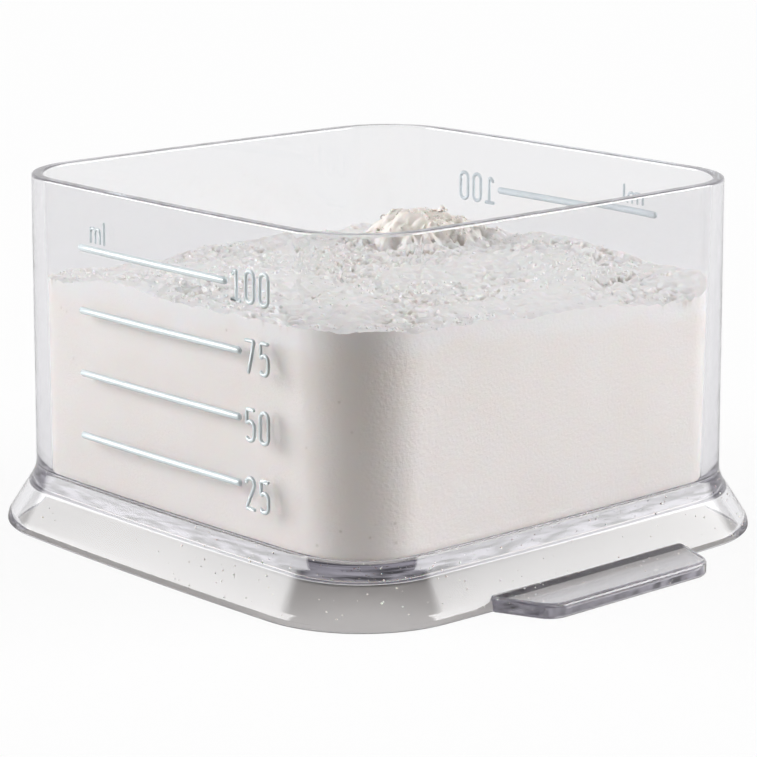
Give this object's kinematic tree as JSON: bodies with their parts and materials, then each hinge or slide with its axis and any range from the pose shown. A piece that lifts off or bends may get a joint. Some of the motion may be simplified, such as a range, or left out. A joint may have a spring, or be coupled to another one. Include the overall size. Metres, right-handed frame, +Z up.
{
  "type": "formula dispenser",
  "caption": "Clear square compartment of a stacking formula dispenser: millilitre scales, a hollow flared base with a pull tab, and a load of powder.",
  "frame": {"origin": "centre of the open underside, on the plane that the base stands on", "axes": "+Z up through the open mouth, +X towards the pull tab, -Y towards the front scale"},
  "size_m": [0.0768, 0.0704, 0.0413],
  "materials": {
    "clear_plastic": "clear, polished, with a faint grey edge",
    "scale_relief": "clear raised beads that read as pale blue-grey",
    "formula_powder": "matte, packed smooth at the walls and crumbly on top"
  },
  "bodies": {
    "compartment": {"cup": "clear_plastic", "line_25_front": "scale_relief", "number_25_front": "scale_relief", "line_50_front": "scale_relief", "number_50_front": "scale_relief", "line_75_front": "scale_relief", "number_75_front": "scale_relief", "line_100_front": "scale_relief", "number_100_front": "scale_relief", "unit_ml_front": "scale_relief", "line_25_back": "scale_relief", "number_25_back": "scale_relief", "line_50_back": "scale_relief", "number_50_back": "scale_relief", "line_75_back": "scale_relief", "number_75_back": "scale_relief", "line_100_back": "scale_relief", "number_100_back": "scale_relief", "unit_ml_back": "scale_relief"},
    "powder_load": {"powder": "formula_powder"}
  },
  "joints": [
    {"name": "powder_lift", "type": "slide", "parent": "compartment", "child": "powder_load", "axis": [0, 0, 1], "range_m": [0, 0.04]}
  ]
}
